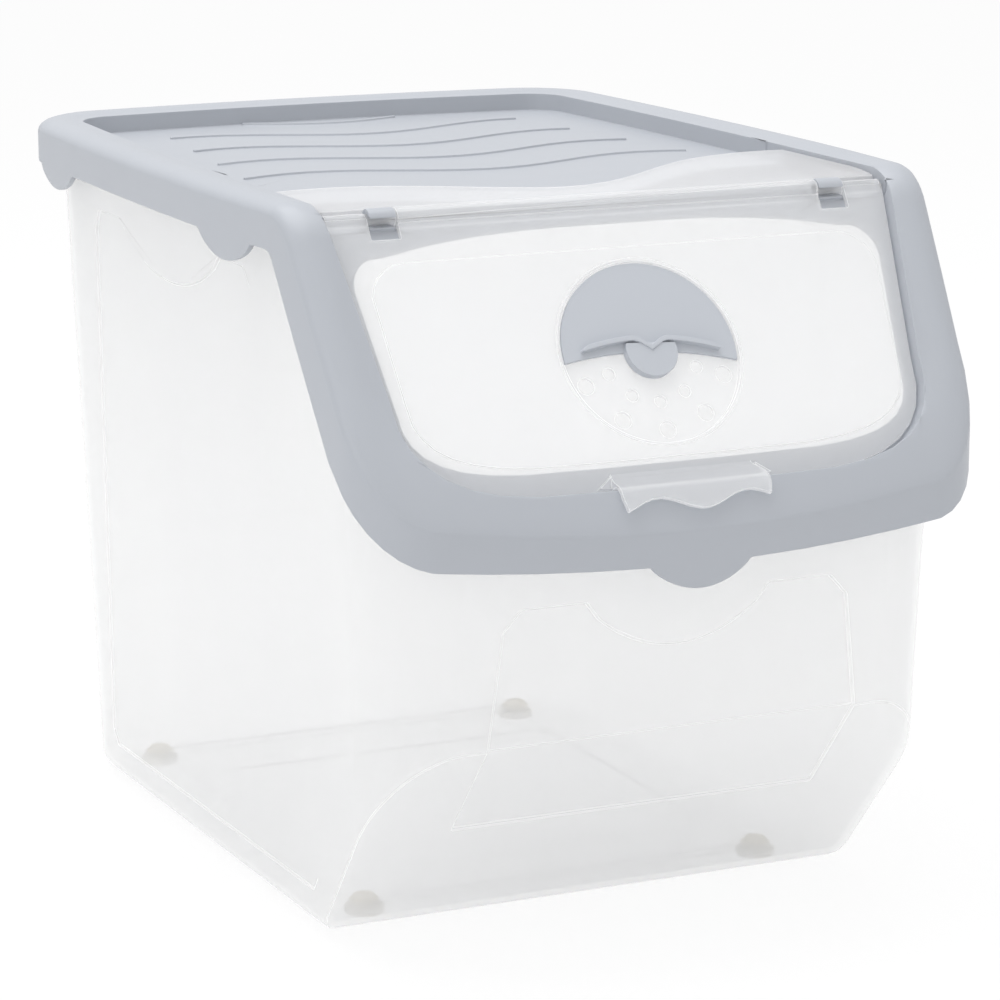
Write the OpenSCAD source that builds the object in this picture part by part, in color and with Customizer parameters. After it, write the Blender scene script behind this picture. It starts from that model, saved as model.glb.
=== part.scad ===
// Rice bin with a flip lid, free standing, in millimetres.
// The origin is on the floor under the middle of the cover. The front faces -Y, and up is +Z.

/* [Overall] */
// Depth of the cover from front to back
cover_d = 397.5; // [335:0.5:480]
// Width of the cover at its widest
cover_w = 282.4; // [250:0.2:340]
// Height from the floor to the crest of the rim
bin_h = 292.5; // [245:0.5:355]

/* [Cover outline] */
// Radius of the front corners in plan
front_corner_r = 32; // [24:1:40]
// Radius of the rear corners in plan
rear_corner_r = 38; // [26:1:46]
// How far the front edge bows forward between its corners
front_bow = 5; // [1:0.5:8]
// How far the rear edge bows back between its corners
rear_bow = 4.8; // [1:0.2:8]
// How much each side draws in from its widest place to the front corner
front_taper = 7.7; // [2:0.1:12]
// How much each side draws in from its widest place to the rear corner
rear_taper = 5.3; // [2:0.1:10]
// Distance of the widest place behind the front edge
widest_back = 172.8; // [150:0.2:200]

/* [Cover shell] */
// Wall of the cover
cover_wall = 2.4; // [1.8:0.1:3]
// Slope of the front frame above the horizontal
slope = 57.7; // [50:0.1:62]
// Radius of the shoulder where the top turns into the slope
shoulder_r = 25; // [16:1:32]
// Distance of the shoulder's corner behind the front edge
shoulder_back = 74.8; // [70:0.2:84]
// How far the crest of the rim stands over its edges
rim_crown = 2; // [1:0.1:3]
// Height of the skirt at the sides and the back
skirt_h = 18.2; // [14:0.2:22]
// Depth of the skirt on the slope, square to it
skirt_slope_h = 20.3; // [16:0.1:24]
// Height of the skirt's lower edge at the front, below the crest
skirt_front_drop = 133.5; // [128:0.5:138]
// Radius where the skirt's lower edge turns under the shoulder
skirt_shoulder_r = 7; // [4:0.5:12]
// Width of the rim beside the sunken top
rim_w = 19.9; // [17:0.1:24]
// Depth of the sunken top below the crest
pan_drop = 9; // [7:0.1:12]

/* [Grip tabs] */
// Half width of the front tab
front_tab_w = 22.5; // [16:0.5:28]
// Drop of the front tab below the skirt
front_tab_drop = 9.3; // [6:0.1:12]
// Half width of the rear side tabs
rear_tab_w = 23.6; // [16:0.2:28]
// Drop of the rear side tabs
rear_tab_drop = 8.6; // [6:0.1:12]
// Distance of the rear side tabs before the back edge
rear_tab_in = 62.7; // [52:0.1:72]
// Half width of the forward side tabs
mid_tab_w = 25; // [16:0.5:28]
// Drop of the forward side tabs
mid_tab_drop = 9.3; // [6:0.1:12]
// Distance of the forward side tabs behind the front edge
mid_tab_back = 129; // [122:0.5:140]

/* [Wave ribs] */
// Number of ribs on the sunken top
rib_count = 5; // [3:1:5]
// Height of a rib
rib_h = 1; // [0.6:0.1:2]
// Width of a rib
rib_w = 2.2; // [1.4:0.1:4]
// Length of one wave along a rib
rib_wave_l = 150; // [120:1:180]
// Swing of a rib to each side of its middle line
rib_swing = 11; // [4:0.5:16]
// Distance of the first rib behind the hinge axis
rib_first = 125; // [110:1:140]
// Half length of the first rib
rib_half_l = 100; // [70:1:105]
// Webs under each side of the rim
side_webs = 4; // [2:1:6]
// Thickness of the webs under the rim
web_t = 1.6; // [1.2:0.1:2.4]

/* [Flap] */
// Length of the flap down the slope from its crease
flap_l = 115; // [105:0.5:118]
// Half width of the flap at its crease
flap_top_w = 119.9; // [112:0.1:120]
// Half width of the flap where its lower corners begin
flap_low_w = 111.5; // [104:0.5:114]
// Half width of the flap's straight lower edge
flap_edge_w = 28; // [20:1:40]
// Thickness of the flap's sheet
flap_t = 2.2; // [1.6:0.1:2.6]
// Height of the raised field on the flap
field_h = 0.4; // [0.2:0.1:0.8]
// Distance of the field's upper edge below the crease
field_top = 16.5; // [12:0.5:19]
// Half width of the field at its upper corners
field_top_w = 108; // [100:0.5:110]
// Distance of the field inside the mouth's lower edge
field_in = 1; // [0:0.5:3]
// Depth of the flap's face below the rim's crest, square to the slope
flap_sink = 5.6; // [4:0.1:7]
// Clearance round the flap's edge
flap_gap = 1.1; // [0.7:0.1:2]
// Gap between the flap's underside and its ledge
seat_gap = 0.25; // [0.15:0.05:0.5]
// Distance of the mouth's upper edge below the crease, in its middle
mouth_top = 4.6; // [4:0.1:8]
// Distance of the mouth's lower edge below the crease
mouth_low = 104; // [95:0.5:106]
// Half width of the mouth at its upper corners
mouth_top_w = 113; // [104:0.5:114]
// Half width of the mouth at its lower corners
mouth_low_w = 106; // [96:0.5:108]

/* [Hinge] */
// Radius of the flap's hinge barrel
barrel_r = 4.3; // [3.8:0.1:4.8]
// Half length of the hinge barrel
barrel_w = 90.5; // [70:0.5:92]
// Width of the notches beside the barrel
notch_w = 12; // [8:0.5:16]
// Radius of the hinge pins in the notches
pin_r = 2.4; // [2:0.1:2.8]
// Radial clearance of the pins in their clips
pin_play = 0.05; // [0.03:0.01:0.09]
// Wall of the hinge clips
clip_wall = 2; // [1.6:0.1:2.4]
// Clearance between the barrel and the trough under it
trough_gap = 0.6; // [0.4:0.1:1]
// Distance of the hinge axis below the flap's face, square to it
axis_sink = 2.9; // [2.6:0.1:3.4]
// Distance of the hinge axis above the crease, along the slope
axis_up = 3; // [2.4:0.1:3.6]

/* [Vent] */
// Distance of the vent's centre below the crease
vent_down = 60; // [54:0.5:64]
// Outer radius of the ring round the vent
vent_ring_r = 38.6; // [34:0.2:42]
// Width of the ring round the vent
vent_ring_w = 1.3; // [0.8:0.1:2]
// Thickness of the shutter
shutter_t = 1.6; // [1.2:0.1:2]
// Radius of the shutter's hub
hub_r = 10.8; // [8:0.2:12]
// How far the shutter's straight edge droops at its ends
shutter_droop = 4.4; // [2:0.2:8]
// Turn of the shutter from level
shutter_turn = -3.4; // [-8:0.2:8]
// Radius of the shutter's snap pin
snap_r = 3; // [2.4:0.1:3.6]
// Radius of the outer row of vent holes
big_hole_r = 3.3; // [2.4:0.1:3.6]
// Radius of the inner row of vent holes
small_hole_r = 2.4; // [2.1:0.1:2.6]
// Distance of the outer holes from the vent's centre
big_hole_ring = 31.5; // [28:0.5:32]
// Distance of the inner holes from the vent's centre
small_hole_ring = 20; // [16:0.5:22]

/* [Lip] */
// Half width of the lip handle
lip_w = 31.5; // [24:0.5:36]
// How far the lip reaches past the flap's edge
lip_reach = 9.5; // [7:0.5:11]
// Height of the lip over the flap's face
lip_h = 9.3; // [8.8:0.1:12]
// Thickness of the lip
lip_t = 2; // [1.6:0.1:2.6]

/* [Hinge plate] */
// Thickness of the hinge plate
plate_t = 2; // [1.6:0.1:2.6]
// Depth of the plate's face below the crest
plate_drop = 3; // [2.4:0.1:4]
// Distance of the plate's wavy edge behind the hinge axis, on average
plate_back = 45.2; // [38:0.2:52]
// Swing of the wavy edge
plate_swing = 23.7; // [10:0.1:26]
// Length of the wave along the plate's edge
plate_wave_l = 208; // [180:1:240]
// Side gap between the plate and the rim
plate_gap = 0.5; // [0.3:0.1:1]

/* [Tub] */
// Wall of the tub
tub_wall = 2.4; // [1.8:0.1:3]
// Draft of the tub's walls, outward for each unit of height
draft = 0.04; // [0.01:0.005:0.05]
// Distance of the tub's side walls inside the cover's widest place, at the crest
side_reach = 12.4; // [9:0.1:16]
// Distance of the tub's front wall behind the cover's front edge, at the front skirt
front_reach = 17.5; // [14:0.1:22]
// Distance of the tub's back wall before the cover's back edge
rear_reach = 13.3; // [9:0.1:18]
// Radius of the tub's corners at the floor
tub_corner_r = 30; // [20:1:36]
// Radius of the edge between the walls and the floor
tub_edge_r = 6; // [3:0.5:10]
// Height of the tub's underside over the floor
tub_lift = 3; // [2:0.1:5]
// Height of the top of the front chamfer
chamfer_h = 90; // [70:1:100]
// Depth of the front chamfer at the underside
chamfer_d = 73; // [50:1:85]
// Depth of the grip panels in the walls
panel_depth = 0.9; // [0.5:0.1:1.2]
// Reach of the flange beyond the tub's walls
flange_w = 5; // [3:0.5:5.5]
// Height of the raised middle of the tub's floor
plateau_h = 1.6; // [0.8:0.1:3]
// Height of the step across the back wall
back_step_z = 104; // [80:1:130]
// Thickness of the tub's flange
flange_t = 2.4; // [1.8:0.1:3.2]
// Clearance under the webs that rest on the flange
rest_gap = 0.2; // [0.1:0.05:0.4]

/* [Feet] */
// Radius of a foot
foot_r = 8; // [6:0.5:10]
// Radius of a foot's neck
foot_neck_r = 3; // [2.4:0.1:3.6]
// Radius of the head that holds a foot
foot_head_r = 4.5; // [4:0.1:6]
// Distance of the front feet behind the chamfer
foot_front = 23; // [18:0.5:30]
// Distance of the rear feet before the back wall
foot_rear = 22; // [18:0.5:28]
// Distance of the feet inside the side walls
foot_side = 28; // [22:0.5:36]

/* [Hidden] */

// Round forms
arc_n = 8;
$fn = 48;
far = 600;

// Colours
cover_colour = [0.77, 0.80, 0.85];
clear_colour = [0.93, 0.94, 0.95];
foot_colour = [0.93, 0.90, 0.82];

// Edges of the cover
front_y = -cover_d / 2;
rear_y = cover_d / 2;
half_w = cover_w / 2;
widest_y = front_y + widest_back;

// Corner centres of the cover's outline
front_cx = half_w - front_taper - front_corner_r;
front_cy = front_y + front_bow + front_corner_r;
rear_cx = half_w - rear_taper - rear_corner_r;
rear_cy = rear_y - rear_bow - rear_corner_r;

// Points along one half of the cover's outline, drawn in by o, from the front to the back
function side_x(y) = y < widest_y
    ? half_w - front_taper * pow((widest_y - y) / (widest_y - front_cy), 2)
    : half_w - rear_taper * pow((y - widest_y) / (rear_cy - widest_y), 2);
function side_stations() = concat(
    [(front_cy + slope_cy) / 2],
    [for (i = [arc_n:-1:0]) arc_cy - shoulder_r * sin(slope * i / arc_n)],
    [for (i = [1:7]) arc_cy + (rear_cy - arc_cy) * i / 8]
);
function half_plan(o) = concat(
    [for (i = [0:4]) let (x = front_cx * (i + 0.25) / 5)
        [x, front_y + o + front_bow * pow(x / front_cx, 2)]],
    [for (i = [0:arc_n]) let (a = -90 + 90 * i / arc_n)
        [front_cx + (front_corner_r - o) * cos(a), front_cy + (front_corner_r - o) * sin(a)]],
    [for (y = side_stations()) [side_x(y) - o, y]],
    [for (i = [0:arc_n]) let (a = 90 * i / arc_n)
        [rear_cx + (rear_corner_r - o) * cos(a), rear_cy + (rear_corner_r - o) * sin(a)]],
    [for (i = [4:-1:0]) let (x = rear_cx * (i + 0.25) / 5)
        [x, rear_y - o - rear_bow * pow(x / rear_cx, 2)]]
);
function mirror_x(pts) = [for (i = [len(pts) - 1:-1:0]) [-pts[i][0], pts[i][1]]];
function plan(o) = concat(half_plan(o), mirror_x(half_plan(o)));

// Side profile of the cover: level top, shoulder arc and slope, lowered by d square to the surface
shoulder_y = front_y + shoulder_back;
tangent_l = shoulder_r * tan(slope / 2);
arc_cy = shoulder_y + tangent_l;
arc_cz = bin_h - shoulder_r;
slope_cy = arc_cy - shoulder_r * sin(slope);
slope_cz = arc_cz + shoulder_r * cos(slope);
function top_z(y, d) =
    y >= arc_cy ? bin_h - d
    : y >= arc_cy - (shoulder_r - d) * sin(slope)
        ? arc_cz + sqrt(pow(shoulder_r - d, 2) - pow(arc_cy - y, 2))
        : slope_cz - d / cos(slope) + (y - slope_cy) * tan(slope);
function profile(d) = concat(
    [[far, -far], [far, bin_h - d], [arc_cy, bin_h - d]],
    [for (i = [1:arc_n]) let (a = 90 + slope * i / arc_n)
        [arc_cy + (shoulder_r - d) * cos(a), arc_cz + (shoulder_r - d) * sin(a)]],
    [[front_y - 40, top_z(front_y - 40, d)], [front_y - 40, -far]]
);

crease_shift = 0.9;

// Crease of the flap, on the flap's face, and the hinge axis
crease_y = front_y + shoulder_back + crease_shift;
crease_z = top_z(crease_y - far, flap_sink) + far * tan(slope);
hinge_y = crease_y + axis_up * cos(slope) + axis_sink * sin(slope);
hinge_z = crease_z + axis_up * sin(slope) - axis_sink * cos(slope);

// Sunken top
pan_z = bin_h - pan_drop;
pan_half_w = half_w - rim_w;
pan_rear_y = rear_y - rim_w;

// Ledge under the flap
ledge_n = -flap_t - seat_gap;

// Tub seat: the flange lies below everything that hangs from the cover's frame
seat_d = max(pan_drop, flap_sink - ledge_n) + cover_wall + rest_gap;
skirt_front_z = bin_h - skirt_front_drop;

// Tub corner centres at the floor
tub_cx = half_w - side_reach - draft * bin_h - tub_corner_r;
tub_front_y = front_y + front_reach + draft * skirt_front_z;
tub_rear_y = rear_y - rear_reach - draft * bin_h;
tub_fcy = tub_front_y + tub_corner_r;
tub_rcy = tub_rear_y - tub_corner_r;
chamfer_top_y = tub_front_y - draft * chamfer_h;
chamfer_low_y = chamfer_top_y + chamfer_d;
chamfer_a = atan((chamfer_h - tub_lift) / chamfer_d);

// Feet
foot_x = tub_cx + tub_corner_r - foot_side;
foot_fy = chamfer_low_y + foot_front;
foot_ry = tub_rear_y - foot_rear;
foot_h = tub_lift;
foot_play = 0.05;
foot_clear = 0.1;
foot_places = [[-foot_x, foot_fy], [foot_x, foot_fy], [-foot_x, foot_ry], [foot_x, foot_ry]];

// Hinge details
clip_x0 = barrel_w + 0.5;
clip_x1 = barrel_w + notch_w - 0.5;
end_bar_r = 2.7;

// Hinge plate on its rails
plate_z = bin_h - plate_drop;
plate_under_z = plate_z - plate_t;
rail_w = 7;
rail_x = pan_half_w - 5;
rail_y0 = hinge_y + 15;
rail_y1 = hinge_y + 48;
rail_gap = 0.1;
peg_r = 2;
peg_play = 0.05;
peg_l = 4;

// Side gussets of the lip
gusset_h = 2.4;

// Vent details
vent_seat = shutter_t + 0.2;
vent_seat_under = vent_seat + 1.6;
shutter_play = 0.7;
snap_play = 0.06;
snap_catch = 0.9;
snap_head_l = 1.6;
snap_l = vent_seat_under + 0.2 + snap_head_l;
ring_h = 0.6;
hub_h = 1.8;
ridge_h = 2.4;
ridge_w = 2;

// Lays a flat shape out on XY upright in YZ and runs it across the width, w to each side of x
module across(w, x = 0) {
    translate([x - w, 0, 0])
        rotate([90, 0, 90])
            linear_extrude(2 * w) children();
}

// Puts things in the flap's own frame: X across, Y up the slope from the crease, Z out of the face
module on_slope() {
    translate([0, crease_y, crease_z])
        rotate([slope, 0, 0]) children();
}

// Puts things in the vent's frame on the flap
module on_vent() {
    on_slope() translate([0, -vent_down, 0]) children();
}

// A bar of radius r along the hinge axis from x0 to x1
module hinge_bar(r, x0, x1) {
    translate([x0, hinge_y, hinge_z])
        rotate([0, 90, 0]) cylinder(h = x1 - x0, r = r);
}

// Everything under the side profile lowered by d
module under(d) {
    across(far) polygon(profile(d));
}

// Solid of the cover's outline drawn in by o and under the side profile lowered by d
module cover_block(o, d) {
    intersection() {
        linear_extrude(bin_h + 1) polygon(plan(o));
        under(d);
    }
}

// Rings of the cover's crowned outer form: inset from the outline and drop below the crest
rim_rings = [[0, 5.2], [0.5, 3.6], [1.6, 2.2], [3.6, 1], [6.4, 0.2], [9, 0], [13, 0.3], [16.5, 1.3]];
function ring_drop(y, d) = d * min(1, 0.3 + (y - front_y) / 50);
function ring_points(ring) = [for (p = plan(ring[0])) [p[0], p[1], top_z(p[1], ring_drop(p[1], ring[1]))]];
module cover_form() {
    base = [for (p = plan(0)) [p[0], p[1], 0]];
    rings = concat([base], [for (r = rim_rings) ring_points(r)]);
    m = len(base);
    n = len(rings);
    points = [for (r = rings, p = r) p];
    sides = [for (j = [0:n - 2], i = [0:m - 1])
        [j * m + i, (j + 1) * m + i, (j + 1) * m + (i + 1) % m, j * m + (i + 1) % m]];
    crest = [for (i = [0:m / 2 - 2])
        [(n - 1) * m + i, (n - 1) * m + m - 1 - i, (n - 1) * m + m - 2 - i, (n - 1) * m + i + 1]];
    floor_face = [for (i = [0:m - 1]) i];
    polyhedron(points, concat(sides, crest, [floor_face]), convexity = 6);
}

// Outline of a tab that hangs from a level edge: shoulders drawn in, then a round belly
function tab(w, drop) = [for (i = [-8:8]) let (t = i / 8)
    [w * t, -drop * (t * t < 1 ? pow(cos(90 * t), 0.7) : 0)]];

// Region over the skirt's lower edge, seen from the side
low_slope_z = top_z(shoulder_y - far, skirt_slope_h) + far * tan(slope);
function low_z(y) = low_slope_z + (y - shoulder_y) * tan(slope);
skirt_z = bin_h - skirt_h;
low_corner_y = shoulder_y + (skirt_z - low_slope_z) / tan(slope);
low_tan = skirt_shoulder_r * tan(slope / 2);
low_cy = low_corner_y + low_tan;
corner_start_y = front_y + 41;
module over_skirt() {
    across(far) polygon(concat(
        [[far, 2 * far], [far, skirt_z]],
        [for (p = tab(rear_tab_w, rear_tab_drop)) [rear_y - rear_tab_in - p[0], skirt_z + p[1]]],
        [for (p = tab(mid_tab_w, mid_tab_drop)) [front_y + mid_tab_back - p[0], skirt_z + p[1]]],
        [for (i = [0:6]) let (a = 90 + slope * i / 6)
            [low_cy + skirt_shoulder_r * cos(a), skirt_z - skirt_shoulder_r + skirt_shoulder_r * sin(a)]],
        [[corner_start_y, low_z(corner_start_y)], [front_y, skirt_front_z]],
        [[front_y - 60, skirt_front_z], [front_y - 60, 2 * far]]
    ));
}

// Outline of the flap grown by o, in the flap's frame
function half_flap(o) = concat(
    [[flap_top_w + o, 14], [flap_top_w + o, 0]],
    [for (i = [0:arc_n]) let (a = 90 * i / arc_n, rx = flap_low_w - flap_edge_w, ry = 43)
        [flap_edge_w + (rx + o) * pow(cos(a), 0.55), -(flap_l - ry) - (ry + o) * pow(sin(a), 0.8)]]
);
function flap_plan(o) = concat(half_flap(o), mirror_x(half_flap(o)));

// Outline of the mouth in the flap's frame
function half_mouth() = concat(
    [for (i = [0:5]) let (x = mouth_top_w * 0.87 * i / 5) [x, -mouth_top - 7.6 * pow(x / (mouth_top_w * 0.87), 3)]],
    [for (i = [0:5]) let (a = 70 - 70 * i / 5) [mouth_top_w - 14 + 14 * cos(a), -mouth_top - 21 + 14 * sin(a)]],
    [for (i = [0:arc_n]) let (a = 90 * i / arc_n)
        [27 + (mouth_low_w + 2 - 27) * pow(cos(a), 0.5), -mouth_low + 30 - 30 * pow(sin(a), 0.75)]]
);
function mouth_plan() = concat(half_mouth(), mirror_x(half_mouth()));

// Outline of the raised field on the flap, in the flap's frame
function half_field() = concat(
    [for (i = [0:2]) [(field_top_w - 14) * i / 3, -field_top]],
    [for (i = [0:5]) let (a = 90 - 80 * i / 5) [field_top_w - 16 + 16 * cos(a), -field_top - 16 + 16 * sin(a)]],
    [for (i = [0:arc_n]) let (a = 90 * i / arc_n)
        [27 + (mouth_low_w - field_in - 27) * pow(cos(a), 0.55), -mouth_low + field_in + 30 - 30 * pow(sin(a), 0.8)]]
);
function field_plan() = concat(half_field(), mirror_x(half_field()));

// Outline of the sunken top, grown by o
module pan_outline(o) {
    intersection() {
        polygon(plan(rim_w - o));
        translate([-far, widest_y - 20]) square([2 * far, 2 * far]);
    }
    translate([-pan_half_w - o, hinge_y - 2]) square([2 * (pan_half_w + o), widest_y - hinge_y + 2]);
}

// Space taken out of the cover by the sunken top and the flap, grown by o and sunk by o
module recess(o) {
    translate([0, 0, pan_z - o]) linear_extrude(far) pan_outline(o);
    on_slope() translate([0, 0, ledge_n - o]) linear_extrude(30) polygon(flap_plan(flap_gap + o));
    trough_w = pan_half_w + o;
    hinge_bar(barrel_r + trough_gap + o, -trough_w, trough_w);
}

// Outline of the wall's section: distance out from a corner centre against height
function wall_r(inset) = let (r = max(tub_edge_r - inset, 1), z0 = tub_lift + inset) concat(
    [for (i = [0:4]) let (a = -90 + 90 * i / 4)
        [tub_corner_r + draft * z0 - inset - r + r * cos(a), z0 + r + r * sin(a)]],
    [[tub_corner_r + draft * bin_h - inset, bin_h]]
);
function turned(pts, c, side) = [for (p = pts) [c + side * p[0], p[1]]];
function backwards(pts) = [for (i = [len(pts) - 1:-1:0]) pts[i]];

// Body of the tub drawn in by inset: straight runs and drafted corners from one section
module tub_body(inset) {
    section = wall_r(inset);
    difference() {
        union() {
            translate([0, tub_rcy, 0])
                rotate([90, 0, 0])
                    linear_extrude(tub_rcy - tub_fcy)
                        polygon(concat(turned(section, tub_cx, 1), backwards(turned(section, -tub_cx, -1))));
            across(tub_cx)
                polygon(concat(turned(section, tub_rcy, 1), backwards(turned(section, tub_fcy, -1))));
            for (c = [[tub_cx, tub_fcy, -90], [tub_cx, tub_rcy, 0], [-tub_cx, tub_rcy, 90], [-tub_cx, tub_fcy, 180]])
                translate([c[0], c[1], 0])
                    rotate([0, 0, c[2]])
                        rotate_extrude(angle = 90)
                            polygon(concat([[0, tub_lift + inset]], section, [[0, bin_h]]));
        }
        // Front chamfer
        translate([0, chamfer_top_y, chamfer_h])
            rotate([-chamfer_a, 0, 0])
                translate([-far, -far, -far]) cube([2 * far, 2 * far, far + inset]);
    }
}

// Outlines of the grip panels: the side ones in YZ, the front one in XZ
side_panel_z = bin_h - 32.8;
side_panel_mid_y = front_y + 224.5;
function side_panel() = concat(
    [[front_y + 95, 24], [front_y + 100, 18], [rear_y - 72, 18], [rear_y - 67, 24]],
    [[rear_y - 85, side_panel_z - 8], [rear_y - 90, side_panel_z]],
    [for (p = backwards(tab(57, 18.7))) [side_panel_mid_y + p[0], side_panel_z + p[1]]],
    [[front_y + 142, side_panel_z], [front_y + 135, side_panel_z - 8]]
);
front_panel_z = skirt_front_z - 15.2;
function front_panel() = concat(
    [[-74, 22], [74, 22], [79, 28], [79, chamfer_h], [73.5, front_panel_z - 8], [66, front_panel_z]],
    [for (p = backwards(tab(39, 20))) [p[0], front_panel_z + p[1]]],
    [[-66, front_panel_z], [-73.5, front_panel_z - 8], [-79, chamfer_h], [-79, 28]]
);
module panel_zones() {
    for (side = [-1, 1])
        across(40, side * (tub_cx + 52)) polygon(side_panel());
    translate([0, tub_fcy, 0])
        rotate([90, 0, 0]) linear_extrude(60) polygon(front_panel());
}

// Raised middle of the floor, clear of the feet
module plateau() {
    x = foot_x - foot_head_r - 3;
    y0 = foot_fy + foot_head_r + 22;
    y1 = foot_ry - foot_head_r - 42;
    corner = 6;
    translate([0, 0, 0]) linear_extrude(tub_lift + tub_wall + plateau_h)
        polygon([[corner - x, y0], [x - corner, y0], [x, y0 + corner], [x, y1 - corner],
                 [x - corner, y1], [corner - x, y1], [-x, y1 - corner], [-x, y0 + corner]]);
}

// Thinner upper part of the back wall's inner side, which leaves a step at its lower end
module back_step() {
    intersection() {
        tub_body(tub_wall - 0.5);
        translate([-tub_cx + 4, tub_rcy, back_step_z]) cube([2 * tub_cx - 8, 100, bin_h - seat_d - 20 - back_step_z]);
    }
}

// Translucent tub with grip panels, an out-turned flange under the cover and holes for the feet
module tub() {
    color(clear_colour, 0.5)
    difference() {
        union() {
            intersection() {
                tub_body(0);
                under(seat_d);
            }
            difference() {
                intersection() {
                    tub_body(-flange_w);
                    under(seat_d);
                }
                under(seat_d + flange_t);
            }
        }
        difference() {
            tub_body(tub_wall);
            plateau();
        }
        back_step();
        intersection() {
            panel_zones();
            difference() {
                tub_body(-1);
                tub_body(panel_depth);
            }
        }
        for (p = foot_places)
            translate([p[0], p[1], 0]) cylinder(h = 3 * tub_wall + tub_lift, r = foot_neck_r + foot_play);
    }
}

// Middle line of a rib at height y of its mean, at x
function rib_y(mean, x) = mean - rib_swing * cos(360 * (x - 5) / rib_wave_l);
module wave_rib(mean, x0, x1) {
    n = 20;
    xs = [for (i = [0:n]) x0 + (x1 - x0) * i / n];
    translate([0, 0, pan_z - 0.4])
        linear_extrude(rib_h + 0.4)
            polygon(concat([for (x = xs) [x, rib_y(mean, x) - rib_w / 2]],
                           [for (x = backwards(xs)) [x, rib_y(mean, x) + rib_w / 2]]));
}
module wave_ribs() {
    pitch = (pan_rear_y - 4 - (hinge_y + rib_first)) / (rib_count - 1);
    for (i = [0:rib_count - 1]) {
        half = i == rib_count - 1 ? rib_half_l * 0.35 : rib_half_l - 6 * i;
        wave_rib(hinge_y + rib_first + pitch * i, -half, half + 3);
    }
}

// Webs under the rim that rest on the tub's flange
module rim_webs() {
    first = hinge_y + 40;
    last = rear_cy;
    difference() {
        intersection() {
            cover_form();
            union() {
                for (side = [-1, 1], i = [0:side_webs - 1])
                    translate([side * (half_w - 12) - 12, first + (last - first) * i / (side_webs - 1), 0])
                        cube([24, web_t, bin_h]);
                for (x = [-60, 60])
                    translate([x, rear_y - 24, 0]) cube([web_t, 24, bin_h]);
            }
        }
        under(seat_d - rest_gap);
        recess(0);
        difference() {
            linear_extrude(bin_h) square(3 * far, center = true);
            linear_extrude(bin_h) polygon(plan(cover_wall / 2));
        }
    }
}

// Tab under the middle of the front skirt
module front_tab() {
    intersection() {
        difference() {
            linear_extrude(bin_h) polygon(plan(0));
            linear_extrude(bin_h) polygon(plan(cover_wall));
        }
        translate([0, front_y + 12, skirt_front_z + 2.2])
            rotate([90, 0, 0])
                linear_extrude(24)
                    polygon(concat([for (p = tab(front_tab_w, front_tab_drop + 2.2)) p], [[front_tab_w, 0.8], [-front_tab_w, 0.8]]));
    }
}

// Clips that hold the hinge pins, one in each notch, open towards the front
clip_r = pin_r + pin_play + clip_wall;
module hinge_clip(x0, x1) {
    difference() {
        union() {
            hinge_bar(clip_r, x0, x1);
            intersection() {
                hinge_bar(barrel_r + trough_gap + 0.3, x0, x1);
                translate([-far, -far, hinge_z - 20]) cube([2 * far, 2 * far, 19]);
            }
        }
        hinge_bar(pin_r + pin_play, x0 - 1, x1 + 1);
        translate([x0 - 1, hinge_y, hinge_z])
            rotate([100, 0, 0])
                translate([0, -pin_r * 0.78, 0]) cube([x1 - x0 + 2, pin_r * 1.56, 12]);
    }
}

// Rails that carry the hinge plate, with sockets for its pegs
module plate_rails() {
    for (side = [-1, 1])
        translate([side * rail_x - rail_w / 2, rail_y0, pan_z - 0.4])
            cube([rail_w, rail_y1 - rail_y0, plate_under_z - pan_z + 0.4 - rail_gap]);
}
module peg_places() {
    for (side = [-1, 1], y = [rail_y0 + 5, rail_y1 - 5])
        translate([side * rail_x, y, 0]) children();
}

// Blue-grey cover with its sunken top and the frame round the mouth
module cover_frame() {
    color(cover_colour)
    difference() {
        union() {
            difference() {
                union() {
                    difference() {
                        intersection() {
                            cover_form();
                            over_skirt();
                        }
                        cover_block(cover_wall, cover_wall + rim_crown);
                    }
                    intersection() {
                        cover_form();
                        recess(cover_wall);
                    }
                }
                recess(0);
                on_slope() translate([0, 0, -60]) linear_extrude(90) polygon(mouth_plan());
            }
            front_tab();
            rim_webs();
            wave_ribs();
            plate_rails();
            hinge_clip(clip_x0, clip_x1);
            hinge_clip(-clip_x1, -clip_x0);
        }
        peg_places() translate([0, 0, plate_under_z - peg_l - 0.6]) cylinder(h = 20, r = peg_r + peg_play);
    }
}

// Wavy rear edge of the hinge plate
function plate_edge(x) = let (t = 360 * (x + 3) / plate_wave_l)
    hinge_y + plate_back - plate_swing * cos(t) - 2.2 * cos(2 * t) + 0.12 * x;
module hinge_plate() {
    w = pan_half_w - plate_gap;
    back = hinge_y + 110;
    front = hinge_y + barrel_r + 0.6;
    n = 24;
    color(clear_colour, 0.5) {
        intersection() {
            across(w) polygon([
                [back, plate_z], [hinge_y + 22, plate_z], [hinge_y + 14, plate_z - 0.3],
                [hinge_y + 9, plate_z - 0.8], [front, plate_z - 1.6],
                [front, plate_z - 1.6 - plate_t], [hinge_y + 9, plate_z - 0.8 - plate_t],
                [hinge_y + 14, plate_z - plate_t], [back, plate_z - plate_t]
            ]);
            linear_extrude(bin_h) polygon(concat(
                [[-w - 1, front - 1]], [[w + 1, front - 1]],
                [for (i = [n:-1:0]) let (x = -w - 1 + (2 * w + 2) * i / n) [x, plate_edge(x)]]
            ));
        }
        peg_places() translate([0, 0, plate_under_z - peg_l]) cylinder(h = peg_l + 0.5, r = peg_r);
    }
}

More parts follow.
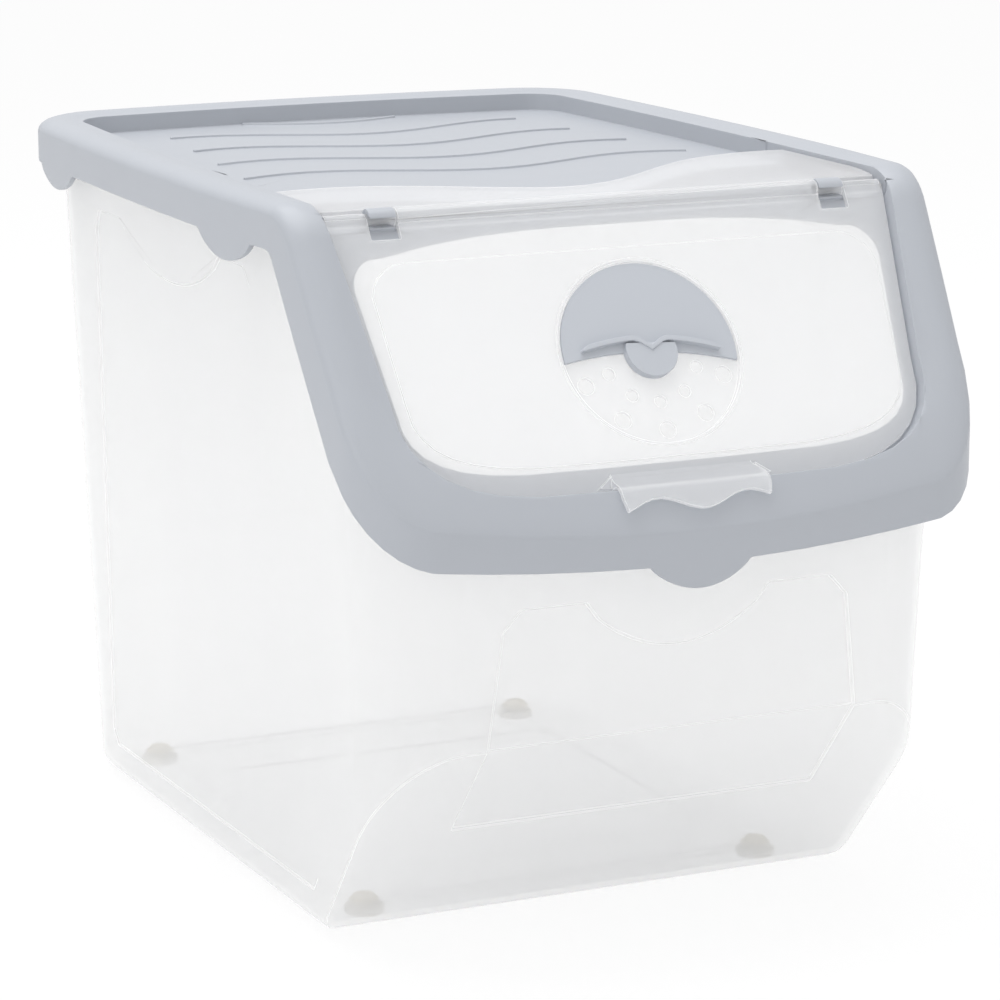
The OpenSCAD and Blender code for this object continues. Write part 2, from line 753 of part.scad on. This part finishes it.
// Section of the lip handle in the flap's frame: distance up the slope against height over the face
function lip_path() = concat(
    [for (i = [0:12]) [-flap_l + 9 - 12.6 * i / 12, -0.4 + (lip_h + 0.4) * (1 - cos(15 * i)) / 2]],
    [[-flap_l - lip_reach - 5, lip_h]]
);
function lip_under() = [
    [-flap_l - lip_reach - 5, lip_h - lip_t], [-flap_l - 3.2, lip_h - lip_t], [-flap_l - 0.2, lip_h - lip_t - 1.4],
    [-flap_l + 0.9, 2.6], [-flap_l + 1.5, -0.6]
];
module lip() {
    path = lip_path();
    intersection() {
        rotate([90, 0, 90])
            translate([0, 0, -lip_w])
                linear_extrude(2 * lip_w)
                    polygon(concat(path, lip_under()));
        translate([0, 0, -10]) linear_extrude(30)
            polygon(concat(
                [[lip_w - 2, -flap_l + 8], [-lip_w + 2, -flap_l + 8], [-lip_w, -flap_l + 2], [-lip_w, -flap_l - 5]],
                [for (i = [0:16]) let (x = -lip_w + 1.2 + 2 * (lip_w - 1.2) * i / 16)
                    [x, -flap_l - lip_reach - 2.8 * cos(360 * (x - 2) / 38)]],
                [[lip_w, -flap_l - 5], [lip_w, -flap_l + 2]]
            ));
    }
    for (side = [-1, 1])
        translate([0, 0, -flap_t / 2]) linear_extrude(flap_t / 2 + gusset_h)
            polygon([[side * (lip_w + 5), -flap_l + 1.4], [side * (lip_w - 1), -flap_l + 6], [side * (lip_w - 1), -flap_l + 0.8]]);
}

// Translucent flap: sheet, hinge barrel and pins, vent seat with its holes, and the lip handle
module flap() {
    end_bar_x = barrel_w + notch_w + 0.4;
    sheet_top = axis_up - 0.6;
    color(clear_colour, 0.5)
    difference() {
        union() {
            on_slope() difference() {
                translate([0, 0, -flap_t]) linear_extrude(flap_t)
                    intersection() {
                        polygon(flap_plan(0));
                        translate([-far, -far]) square([2 * far, far + sheet_top]);
                    }
                for (side = [-1, 1])
                    translate([side * (barrel_w + notch_w / 2) - notch_w / 2, -6.5, -10]) cube([notch_w, 30, 20]);
            }
            on_slope() lip();
            on_slope() translate([0, 0, -flap_t / 2]) linear_extrude(flap_t / 2 + field_h) polygon(field_plan());
            on_vent() translate([0, 0, -vent_seat_under]) cylinder(h = vent_seat_under + ring_h, r = vent_ring_r);
            hinge_bar(barrel_r, -barrel_w, barrel_w);
            hinge_bar(pin_r, -flap_top_w, flap_top_w);
            hinge_bar(end_bar_r, end_bar_x, flap_top_w - 0.4);
            hinge_bar(end_bar_r, 0.4 - flap_top_w, -end_bar_x);
        }
        on_vent() {
            translate([0, 0, -vent_seat]) cylinder(h = 10, r = vent_ring_r - vent_ring_w);
            translate([0, 0, -10]) cylinder(h = 20, r = snap_r + snap_play);
            for (a = [-69, -34, 0, 34, 69]) rotate(a) {
                translate([0, -big_hole_ring, -10]) cylinder(h = 20, r = big_hole_r);
                translate([0, -small_hole_ring, -10]) cylinder(h = 20, r = small_hole_r);
            }
        }
    }
}

// Curve of the shutter's finger ridge, a shallow bow with a notch in its middle
function ridge_y(x) = 6 - 4.4 * pow(abs(x) / 29, 2) - 4.2 * max(0, 1 - abs(x) / 6);
module finger_ridge() {
    n = 24;
    xs = [for (i = [0:n]) -29 + 58 * i / n];
    linear_extrude(ridge_h)
        polygon(concat([for (x = xs) [x, ridge_y(x) - ridge_w]],
                       [for (x = backwards(xs)) [x, ridge_y(x) + (abs(x) > 28 ? -ridge_w / 2 : 0)]]));
}

// Blue-grey shutter: a half disc with a drooping lower edge, a hub, a finger ridge and a split snap pin
module vent_shutter() {
    r = vent_ring_r - vent_ring_w - shutter_play;
    sweep_r = (r * r + shutter_droop * shutter_droop) / (2 * shutter_droop);
    color(cover_colour)
    on_vent() rotate(shutter_turn) difference() {
        union() {
            translate([0, 0, -shutter_t]) linear_extrude(shutter_t) {
                difference() {
                    circle(r);
                    translate([0, -sweep_r]) circle(sweep_r);
                }
                circle(hub_r);
            }
            finger_ridge();
            linear_extrude(hub_h) intersection() {
                circle(hub_r);
                translate([-far, -far]) square([2 * far, far + 3]);
            }
            translate([0, 0, -snap_l]) cylinder(h = snap_l - 0.5, r = snap_r);
            translate([0, 0, -snap_l]) cylinder(h = snap_head_l, r = snap_r + snap_catch);
        }
        translate([-20, -0.6, -snap_l - 1]) cube([40, 1.2, snap_l - shutter_t - 0.4 + 1]);
    }
}

// Rubber foot: pad, neck through the floor and head over it
module foot(x, y) {
    color(foot_colour)
    translate([x, y, 0]) {
        cylinder(h = foot_h - foot_clear, r = foot_r);
        cylinder(h = foot_h + tub_wall + 2, r = foot_neck_r);
        translate([0, 0, foot_h + tub_wall + foot_clear]) cylinder(h = 1.8, r = foot_head_r);
    }
}

tub();
cover_frame();
hinge_plate();
flap();
vent_shutter();
foot(-foot_x, foot_fy);  // foot_fl
foot(foot_x, foot_fy);  // foot_fr
foot(-foot_x, foot_ry);  // foot_rl
foot(foot_x, foot_ry);  // foot_rr
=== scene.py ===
"""Rice bin with a flip lid: a milky tub, a blue-grey cover, a hinged lid with a turning vent, and four rubber feet.

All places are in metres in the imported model's frame: origin on the floor under the cover, front towards -Y, up +Z.
"""

import logging
import math
from dataclasses import dataclass
from enum import Enum
from typing import Callable, Sequence, Union

import bmesh
import bpy
from mathutils import Matrix, Vector
from mathutils.bvhtree import BVHTree


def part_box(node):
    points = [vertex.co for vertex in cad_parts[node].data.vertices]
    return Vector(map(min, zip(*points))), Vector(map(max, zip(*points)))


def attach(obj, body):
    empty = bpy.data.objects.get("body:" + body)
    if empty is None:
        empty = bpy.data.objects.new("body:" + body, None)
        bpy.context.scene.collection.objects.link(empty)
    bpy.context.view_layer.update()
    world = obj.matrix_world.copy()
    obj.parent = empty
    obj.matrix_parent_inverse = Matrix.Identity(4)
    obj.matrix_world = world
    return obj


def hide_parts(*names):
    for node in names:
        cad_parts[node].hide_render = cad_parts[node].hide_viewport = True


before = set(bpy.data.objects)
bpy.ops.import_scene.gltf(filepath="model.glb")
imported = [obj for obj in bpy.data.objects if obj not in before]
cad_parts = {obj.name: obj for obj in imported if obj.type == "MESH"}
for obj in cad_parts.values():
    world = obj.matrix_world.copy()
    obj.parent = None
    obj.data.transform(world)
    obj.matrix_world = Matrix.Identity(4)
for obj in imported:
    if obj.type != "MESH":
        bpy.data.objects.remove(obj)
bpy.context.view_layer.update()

log = logging.getLogger("rice_bin")

Number = Union[int, float]
Colour = tuple[float, float, float]
Point = tuple[float, float, float]
Finish = tuple[bpy.types.Material, ...]

WHITE: Colour = (1.0, 1.0, 1.0)
PLASTIC_IOR = 1.49
# Corners of a CAD mesh nearer than this, in metres, are one corner.
MERGE = 0.000002
# Edges shorter than this, in metres, are dropped.
SLIVER = 0.00001
# Corners farther from the surface than this many roundings are pulled back to it.
STRAY = 1.5
# Holes of at most this many sides are closed after that.
HOLE_SIDES = 8
# Faces whose normal rises or falls more than this lie level.
LEVEL = 0.9


class Slot(Enum):
    """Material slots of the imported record."""

    CLEAR = "clear_plastic"
    GREY = "grey_plastic"
    RUBBER = "foot_rubber"


# Shader writing


class Sock:
    """A node's output socket that takes part in plain arithmetic."""

    def __init__(self, book: "Book", socket: bpy.types.NodeSocket) -> None:
        """Keeps the socket and the node tree it is in.

        Args:
            book: the writer of the node tree.
            socket: an output socket in that tree.
        """
        self.book = book
        self.socket = socket

    def _math(self, operation: str, a: "Sock | Number", b: "Sock | Number") -> "Sock":
        """Adds a Math node and returns its result."""
        return self.book.node("ShaderNodeMath", {"operation": operation}, {0: a, 1: b})

    def __add__(self, other: "Sock | Number") -> "Sock":
        """Sum of two values."""
        return self._math("ADD", self, other)

    __radd__ = __add__

    def __mul__(self, other: "Sock | Number") -> "Sock":
        """Product of two values."""
        return self._math("MULTIPLY", self, other)

    __rmul__ = __mul__

    def __sub__(self, other: "Sock | Number") -> "Sock":
        """Difference of two values."""
        return self._math("SUBTRACT", self, other)

    def __rsub__(self, other: "Sock | Number") -> "Sock":
        """Difference of a number and this value."""
        return self._math("SUBTRACT", other, self)

    def around(self, spread: float) -> "Sock":
        """This noise of 0 to 1, as a swing of the given width about zero."""
        return (self - 0.5) * spread


Value = Union[Sock, Number, Sequence[float]]


class Book:
    """Writes the nodes of one material, or of the world."""

    def __init__(self, owner: "bpy.types.Material | bpy.types.World") -> None:
        """Empties the owner's node tree.

        Args:
            owner: the material or world to write.
        """
        self.owner = owner
        owner.use_nodes = True
        self.tree = owner.node_tree
        self.tree.nodes.clear()

    def node(
        self,
        kind: str,
        settings: "dict[str, object] | None" = None,
        values: "dict[int | str, Value] | None" = None,
        out: "int | str" = 0,
    ) -> Sock:
        """Adds a node and returns one of its outputs.

        Args:
            kind: the node's type name.
            settings: the node's own properties, set before its sockets.
            values: numbers, colours or sockets for its inputs, by place or name.
            out: the output to return, by place or name.

        Returns:
            The chosen output.
        """
        made = self.tree.nodes.new(kind)
        for key, value in (settings or {}).items():
            setattr(made, key, value)
        for key, value in (values or {}).items():
            socket = made.inputs[key]
            if isinstance(value, Sock):
                self.tree.links.new(value.socket, socket)
            elif isinstance(value, (tuple, list)) and socket.type == "RGBA":
                socket.default_value = (*value, 1)
            else:
                socket.default_value = value
        return Sock(self, made.outputs[out])

    def noise(self, scale: float, detail: float, stretch: Point = (1, 1, 1)) -> Sock:
        """A cloud noise from 0 to 1 on the piece's own coordinates.

        Args:
            scale: cells for each metre.
            detail: octaves of the noise.
            stretch: scale of the pattern along each axis.

        Returns:
            A value socket.
        """
        where = self.node("ShaderNodeTexCoord", out="Object")
        placed = self.node("ShaderNodeMapping", {}, {"Vector": where, "Scale": stretch})
        return self.node("ShaderNodeTexNoise", {}, {"Vector": placed, "Scale": scale, "Detail": detail})

    def blend(self, share: Sock, low: Colour, high: Colour) -> Sock:
        """A colour that goes from low at a share of 0 to high at 1."""
        return self.node("ShaderNodeMix", {"data_type": "RGBA"}, {0: share, 6: low, 7: high}, out=2)

    def relief(self, height: Sock, depth: float, strength: float) -> Sock:
        """A bump from a height.

        Args:
            height: the height, about 0 to 1.
            depth: what a height of 1 stands for, in metres.
            strength: share of the bump that is used.

        Returns:
            A normal socket.
        """
        return self.node("ShaderNodeBump", {}, {"Height": height, "Distance": depth, "Strength": strength})

    def mix(self, share: "Sock | Number", first: Sock, second: Sock) -> Sock:
        """A Mix Shader of two shaders, all first at a share of 0."""
        return self.node("ShaderNodeMixShader", {}, {0: share, 1: first, 2: second})

    def finish(self, shader: Sock, kind: str = "ShaderNodeOutputMaterial") -> "bpy.types.Material | bpy.types.World":
        """Puts the shader on the output and returns the material or world."""
        out = self.tree.nodes.new(kind)
        self.tree.links.new(shader.socket, out.inputs["Surface"])
        return self.owner


@dataclass(frozen=True)
class SatinPlastic:
    """Opaque moulded plastic with a fine satin grain."""

    name: str
    light: Colour
    dark: Colour
    roughness: float = 0.42
    shine: float = 0.42
    flow_scale: float = 4.0
    flow_stretch: Point = (1.0, 3.0, 1.0)
    wear_scale: float = 60.0
    wear_rough: float = 0.08
    grain_scale: float = 1700.0
    grain_rough: float = 0.10
    grain_depth: float = 0.00005
    grain_strength: float = 0.35

    def material(self) -> bpy.types.Material:
        """Writes the material and returns it."""
        book = Book(bpy.data.materials.new(self.name))
        flow = book.noise(self.flow_scale, detail=3.0, stretch=self.flow_stretch)
        grain = book.noise(self.grain_scale, detail=1.0)
        wear = book.noise(self.wear_scale, detail=3.0)
        return book.finish(book.node("ShaderNodeBsdfPrincipled", {}, {
            "Base Color": book.blend(flow, self.dark, self.light),
            "Roughness": grain.around(self.grain_rough) + wear.around(self.wear_rough) + self.roughness,
            "Normal": book.relief(grain, self.grain_depth, self.grain_strength),
            "IOR": PLASTIC_IOR, "Specular IOR Level": self.shine,
        }))


@dataclass(frozen=True)
class MilkyPlastic:
    """Translucent natural plastic: part lit on its face, part glowing through, part clear."""

    name: str
    body: float
    glow: float = 0.40
    light: Colour = (0.950, 0.950, 0.950)
    dark: Colour = (0.920, 0.921, 0.924)
    roughness: float = 0.30
    shine: float = 0.45
    tone_scale: float = 6.0
    tone_stretch: Point = (1.0, 1.0, 0.3)
    tone_body: float = 0.10
    frost_scale: float = 1900.0
    frost_rough: float = 0.10
    frost_depth: float = 0.00003
    frost_strength: float = 0.12

    def material(self) -> bpy.types.Material:
        """Writes the material and returns it."""
        book = Book(bpy.data.materials.new(self.name))
        tone = book.noise(self.tone_scale, detail=2.0, stretch=self.tone_stretch)
        frost = book.noise(self.frost_scale, detail=1.0)
        colour = book.blend(tone, self.dark, self.light)
        bump = book.relief(frost, self.frost_depth, self.frost_strength)
        face = book.node("ShaderNodeBsdfPrincipled", {}, {
            "Base Color": colour, "Roughness": frost.around(self.frost_rough) + self.roughness, "Normal": bump,
            "IOR": PLASTIC_IOR, "Specular IOR Level": self.shine,
        })
        through = book.node("ShaderNodeBsdfTranslucent", {}, {"Color": colour, "Normal": bump})
        clear = book.node("ShaderNodeBsdfTransparent", {}, {"Color": WHITE})
        share = tone.around(self.tone_body) + self.body
        return book.finish(book.mix(share, clear, book.mix(self.glow, face, through)))


@dataclass(frozen=True)
class Rubber:
    """Soft matt rubber that lets a little light through, with faint dust."""

    name: str
    light: Colour
    dark: Colour
    roughness: float = 0.72
    shine: float = 0.3
    glow: float = 0.6
    dust_scale: float = 220.0
    dust_rough: float = 0.2
    grain_scale: float = 2600.0
    grain_depth: float = 0.00005
    grain_strength: float = 0.4

    def material(self) -> bpy.types.Material:
        """Writes the material and returns it."""
        book = Book(bpy.data.materials.new(self.name))
        dust = book.noise(self.dust_scale, detail=3.0)
        grain = book.noise(self.grain_scale, detail=0.0)
        colour = book.blend(dust, self.dark, self.light)
        bump = book.relief(grain, self.grain_depth, self.grain_strength)
        face = book.node("ShaderNodeBsdfPrincipled", {}, {
            "Base Color": colour, "Roughness": dust.around(self.dust_rough) + self.roughness, "Normal": bump,
            "Specular IOR Level": self.shine,
        })
        through = book.node("ShaderNodeBsdfTranslucent", {}, {"Color": colour, "Normal": bump})
        return book.finish(book.mix(self.glow, face, through))


@dataclass(frozen=True)
class StudioPaper:
    """White studio floor with a faint glow: plain white to the camera, apart from the object's soft shadow."""

    name: str
    white: float = 0.95
    shadow: float = 0.12
    glow: float = 0.15

    def material(self) -> bpy.types.Material:
        """Writes the material and returns it."""
        book = Book(bpy.data.materials.new(self.name))
        paper = book.node("ShaderNodeBsdfDiffuse", {}, {"Color": (self.white,) * 3})
        lamp = book.node("ShaderNodeEmission", {}, {"Color": WHITE, "Strength": 1.0})
        seen = book.node("ShaderNodeLightPath", out="Is Camera Ray")
        return book.finish(book.mix(seen * (1.0 - self.shadow - self.glow) + self.glow, paper, lamp))


# Mesh work


def deselect() -> None:
    """Leaves object mode with nothing selected."""
    if bpy.context.mode != "OBJECT":
        bpy.ops.object.mode_set(mode="OBJECT")
    bpy.ops.object.select_all(action="DESELECT")


def alone(piece: bpy.types.Object) -> None:
    """Selects one object and makes it active."""
    deselect()
    piece.select_set(True)
    bpy.context.view_layer.objects.active = piece


def pick_faces(piece: bpy.types.Object, wanted: Callable[[bmesh.types.BMFace], bool]) -> None:
    """Selects only the faces that match, in edit mode.

    Args:
        piece: the object in edit mode.
        wanted: tells whether a face is selected.
    """
    bpy.ops.mesh.select_mode(type="FACE")
    bpy.ops.mesh.select_all(action="DESELECT")
    mesh = bmesh.from_edit_mesh(piece.data)
    for face in mesh.faces:
        if wanted(face):
            face.select_set(True)
    bmesh.update_edit_mesh(piece.data)


def smooth(piece: bpy.types.Object, degrees: float) -> None:
    """Shades the piece smooth, with edges sharper than the angle kept crisp."""
    alone(piece)
    bpy.ops.object.shade_smooth_by_angle(angle=math.radians(degrees))


def surface_of(piece: bpy.types.Object) -> BVHTree:
    """A search tree of the piece's surface as it is now."""
    mesh = bmesh.new()
    mesh.from_mesh(piece.data)
    tree = BVHTree.FromBMesh(mesh)
    mesh.free()
    return tree


def pull_back(piece: bpy.types.Object, surface: BVHTree, reach: float) -> None:
    """Puts vertices that a rounding threw off the surface back on it, and closes what that opens.

    Args:
        piece: the rounded piece.
        surface: the surface before the rounding.
        reach: how far a vertex may be from it, in metres.
    """
    strays = 0
    for vertex in piece.data.vertices:
        spot, _, _, distance = surface.find_nearest(vertex.co)
        if spot is not None and distance > reach:
            vertex.co = spot
            strays += 1
    log.info("%s: %d strays pulled back", piece.name, strays)
    bpy.ops.object.mode_set(mode="EDIT")
    bpy.ops.mesh.select_all(action="SELECT")
    bpy.ops.mesh.dissolve_degenerate(threshold=SLIVER)
    bpy.ops.mesh.delete_loose(use_verts=True, use_edges=True, use_faces=False)
    bpy.ops.mesh.select_all(action="SELECT")
    bpy.ops.mesh.fill_holes(sides=HOLE_SIDES)
    bpy.ops.object.mode_set(mode="OBJECT")


def skin_of(node: str, name: str, degrees: float, rounding: float) -> bpy.types.Object:
    """A merged copy of a CAD node with rounded edges and smooth shading, which stands for it.

    Args:
        node: the CAD node's name.
        name: the new piece's name.
        degrees: edges sharper than this are rounded.
        rounding: width of the rounding in metres.

    Returns:
        The new piece, with an empty material slot for its faces and one for its rounded edges.
    """
    piece = bpy.data.objects.new(name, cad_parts[node].data.copy())
    bpy.context.scene.collection.objects.link(piece)
    piece.data.materials.clear()
    for _ in range(2):
        piece.data.materials.append(None)
    alone(piece)
    bpy.ops.object.mode_set(mode="EDIT")
    bpy.ops.mesh.select_all(action="SELECT")
    bpy.ops.mesh.remove_doubles(threshold=MERGE)
    bpy.ops.mesh.customdata_custom_splitnormals_clear()
    bpy.ops.object.mode_set(mode="OBJECT")
    surface = surface_of(piece)
    edges = piece.modifiers.new("edges", "BEVEL")
    edges.width, edges.segments = rounding, 2
    edges.limit_method, edges.angle_limit = "ANGLE", math.radians(degrees)
    edges.use_clamp_overlap = False
    edges.miter_outer = "MITER_ARC"
    # The rounded edges take the second material; on the milky pieces that is a whiter plastic that paints bright
    # highlight lines along the edges.
    edges.material = 1
    bpy.ops.object.modifier_apply(modifier=edges.name)
    pull_back(piece, surface, rounding * STRAY)
    smooth(piece, degrees)
    weights = piece.modifiers.new("weights", "WEIGHTED_NORMAL")
    weights.keep_sharp = True
    bpy.ops.object.modifier_apply(modifier=weights.name)
    return piece


def dress(piece: bpy.types.Object, finish: Finish, body: str, node: str) -> None:
    """Gives a piece its finish, its body and the node it stands for.

    Args:
        piece: the finished piece, with an empty material slot for each material.
        finish: the material of its faces and, on a moulded piece, the one of its rounded edges, which on the milky
            pieces is a painted edge highlight.
        body: the CAD body it rides on.
        node: the CAD node it replaces.
    """
    for place, material in enumerate(finish):
        piece.data.materials[place] = material
    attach(piece, body)
    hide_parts(node)
    log.info("%s: %d faces on %s", piece.name, len(piece.data.polygons), body)


@dataclass
class Tub:
    """The milky tub."""

    finish: Finish
    crisp: float = 32.0
    rounding: float = 0.0006

    def build(self) -> None:
        """Makes the tub's skin."""
        skin = skin_of("tub", "tub_shell", self.crisp, self.rounding)
        dress(skin, self.finish, "base", "tub")


@dataclass
class Cover:
    """The blue-grey cover and the milky hinge plate set in it."""

    frame_finish: Finish
    plate_finish: Finish
    frame_crisp: float = 34.0
    frame_rounding: float = 0.0005
    plate_crisp: float = 30.0
    plate_rounding: float = 0.0004

    def build(self) -> None:
        """Makes the cover's skin and the plate's."""
        shell = skin_of("cover_frame", "cover_shell", self.frame_crisp, self.frame_rounding)
        dress(shell, self.frame_finish, "cover", "cover_frame")
        plate = skin_of("hinge_plate", "hinge_plate_skin", self.plate_crisp, self.plate_rounding)
        dress(plate, self.plate_finish, "cover", "hinge_plate")


@dataclass
class FlipLid:
    """The hinged lid with its lip, and the vent shutter on it."""

    lid_finish: Finish
    shutter_finish: Finish
    lid_crisp: float = 38.0
    shutter_crisp: float = 30.0
    rounding: float = 0.0003

    def build(self) -> None:
        """Makes the lid's skin and the shutter's."""
        lid = skin_of("flap", "flip_lid", self.lid_crisp, self.rounding)
        dress(lid, self.lid_finish, "flap", "flap")
        disc = skin_of("vent_shutter", "vent_disc", self.shutter_crisp, self.rounding)
        dress(disc, self.shutter_finish, "shutter", "vent_shutter")


@dataclass
class Foot:
    """One rubber foot: a pad with a rounded rim and a shallow dimple, a neck, and a head over the floor."""

    finish: Finish
    node: str
    rim: float = 0.00048
    pad: float = 0.0029
    neck: float = 0.003
    head: float = 0.0045
    head_low: float = 0.0055
    dimple: float = 0.0005
    dimple_slope: float = 0.0006
    dimple_share: float = 0.42
    sides: int = 40
    round_edge: float = 60.0
    crisp: float = 40.0

    def build(self) -> None:
        """Models the foot by hand on the place of its CAD node."""
        low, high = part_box(self.node)
        centre = ((low[0] + high[0]) / 2, (low[1] + high[1]) / 2)
        radius = (high[0] - low[0]) / 2
        deselect()
        bpy.ops.mesh.primitive_cylinder_add(
            vertices=self.sides, radius=radius, depth=self.pad, location=(*centre, low[2] + self.pad / 2))
        piece = bpy.context.object
        piece.name = self.node + "_pad"
        piece.data.materials.append(None)
        bpy.ops.object.transform_apply(location=True, rotation=False, scale=False)
        bpy.ops.object.mode_set(mode="EDIT")
        self._grow_neck(piece, low[2] + self.pad, radius, high[2])
        pick_faces(piece, lambda f: f.normal.z < -LEVEL)
        bpy.ops.mesh.inset(thickness=radius * self.dimple_share, depth=0.0)
        bpy.ops.mesh.inset(thickness=self.dimple_slope, depth=-self.dimple)
        alone(piece)
        rim = piece.modifiers.new("rim", "BEVEL")
        rim.width, rim.segments = self.rim, 3
        rim.limit_method, rim.angle_limit = "ANGLE", math.radians(self.round_edge)
        bpy.ops.object.modifier_apply(modifier=rim.name)
        smooth(piece, self.crisp)
        dress(piece, self.finish, "base", self.node)

    def _grow_neck(self, piece: bpy.types.Object, pad_top: float, radius: float, top: float) -> None:
        """Draws the neck and the head up from the pad.

        Args:
            piece: the foot in edit mode.
            pad_top: height of the pad's upper face.
            radius: the pad's radius.
            top: height of the head's top.
        """
        pick_faces(piece, lambda f: f.normal.z > LEVEL)
        bpy.ops.mesh.inset(thickness=radius - self.neck, depth=0.0)
        bpy.ops.mesh.extrude_region_move(TRANSFORM_OT_translate={"value": (0, 0, self.head_low - pad_top)})
        bpy.ops.mesh.extrude_region_move(TRANSFORM_OT_translate={"value": (0, 0, 0)})
        wide = self.head / self.neck
        bpy.ops.transform.resize(value=(wide, wide, 1))
        bpy.ops.mesh.extrude_region_move(TRANSFORM_OT_translate={"value": (0, 0, top - self.head_low)})


# Studio


@dataclass(frozen=True)
class Softbox:
    """A square studio lamp."""

    name: str
    place: Point
    aim: Point
    size: float
    watts: float

    def build(self) -> None:
        """Hangs the lamp."""
        data = bpy.data.lights.new(self.name, "AREA")
        data.shape, data.size, data.energy = "SQUARE", self.size, self.watts
        lamp = bpy.data.objects.new(self.name, data)
        bpy.context.scene.collection.objects.link(lamp)
        lamp.location = self.place
        lamp.rotation_mode = "QUATERNION"
        lamp.rotation_quaternion = (Vector(self.aim) - Vector(self.place)).to_track_quat("-Z", "Y")
        lamp.visible_camera = False


@dataclass(frozen=True)
class View:
    """The camera that took the photograph, as fitted to its edges."""

    place: Point = (-0.6724, -1.4496, 0.5005)
    right: Point = (0.9048, -0.4258, 0.0)
    ahead: Point = (0.4156, 0.8830, -0.2181)
    lens_mm: float = 140.2
    sensor_mm: float = 36.0
    near: float = 0.05
    far: float = 50.0

    def build(self) -> None:
        """Sets up the camera."""
        data = bpy.data.cameras.new("view_camera")
        data.sensor_width, data.lens = self.sensor_mm, self.lens_mm
        data.clip_start, data.clip_end = self.near, self.far
        camera = bpy.data.objects.new("view_camera", data)
        bpy.context.scene.collection.objects.link(camera)
        right, ahead = Vector(self.right).normalized(), Vector(self.ahead).normalized()
        turn = Matrix((right, right.cross(ahead), -ahead)).transposed()
        camera.matrix_world = Matrix.Translation(self.place) @ turn.to_4x4()
        bpy.context.scene.camera = camera


@dataclass
class Studio:
    """Floor, world, lamps and camera."""

    paper: bpy.types.Material
    view: View = View()
    ambient: float = 0.78
    floor_size: float = 14.0
    floor_z: float = -0.0003
    lamps: tuple[Softbox, ...] = (
        Softbox("top_softbox", (-0.2, 0.2, 1.9), aim=(0.0, 0.0, 0.2), size=1.7, watts=26.0),
        Softbox("left_softbox", (-1.9, -1.0, 1.1), aim=(0.0, 0.0, 0.15), size=1.3, watts=6.2),
        Softbox("right_softbox", (1.7, -1.6, 0.9), aim=(0.0, 0.0, 0.15), size=1.3, watts=1.0),
    )

    def build(self) -> None:
        """Makes the whole studio."""
        self._floor()
        self._world()
        for lamp in self.lamps:
            lamp.build()
        self.view.build()
        bpy.context.scene.view_settings.view_transform = "Standard"

    def _floor(self) -> None:
        """Lays the white floor."""
        deselect()
        bpy.ops.mesh.primitive_plane_add(size=self.floor_size, location=(0, 0, self.floor_z))
        floor = bpy.context.object
        floor.name = "studio_floor"
        floor.data.materials.append(self.paper)

    def _world(self) -> None:
        """Writes the world: plain soft light, and white where it is seen."""
        world = bpy.data.worlds.new("studio_world")
        bpy.context.scene.world = world
        book = Book(world)
        camera = book.node("ShaderNodeLightPath", out="Is Camera Ray")
        passing = book.node("ShaderNodeLightPath", out="Is Transmission Ray")
        seen = book.node("ShaderNodeMath", {"operation": "ADD", "use_clamp": True}, {0: camera, 1: passing})
        soft = book.node("ShaderNodeBackground", {}, {"Color": WHITE, "Strength": self.ambient})
        white = book.node("ShaderNodeBackground", {}, {"Color": WHITE, "Strength": 1.0})
        book.finish(book.mix(seen, soft, white), "ShaderNodeOutputWorld")


def main() -> None:
    """Builds the studio and the pieces in order."""
    logging.basicConfig(level=logging.INFO, format="%(name)s: %(message)s")
    Studio(StudioPaper("studio_paper").material()).build()
    grey = SatinPlastic("blue_grey_plastic", light=(0.418, 0.438, 0.474), dark=(0.395, 0.415, 0.452)).material()
    pale = SatinPlastic("shutter_plastic", light=(0.480, 0.502, 0.542), dark=(0.452, 0.476, 0.518)).material()
    # Painted highlight: the milky pieces' rounded edges get whiter, more opaque plastic that draws bright outline
    # lines; the extra opacity also stands for the thicker plastic seen edge-on.
    edge_highlight_paint = MilkyPlastic("milky_edge_painted_highlight", body=0.55, glow=0.45, light=WHITE, dark=(0.98, 0.98, 0.98)).material()
    tub = MilkyPlastic("milky_tub_plastic", body=0.34).material()
    lid = MilkyPlastic(
        "milky_lid_plastic", body=0.34, glow=0.3, light=(0.93, 0.932, 0.938), dark=(0.90, 0.903, 0.912)).material()
    plate = MilkyPlastic(
        "milky_plate_plastic", body=0.44, glow=0.2, light=(0.85, 0.85, 0.86), dark=(0.82, 0.82, 0.83)).material()
    rubber = Rubber("ivory_rubber", light=(0.97, 0.95, 0.90), dark=(0.93, 0.90, 0.83)).material()
    Tub((tub, edge_highlight_paint)).build()
    Cover((grey, grey), (plate, edge_highlight_paint)).build()
    FlipLid((lid, edge_highlight_paint), (pale, pale)).build()
    for node in ("foot_fl", "foot_fr", "foot_rl", "foot_rr"):
        Foot((rubber,), node).build()


if __name__ == "__main__":
    main()
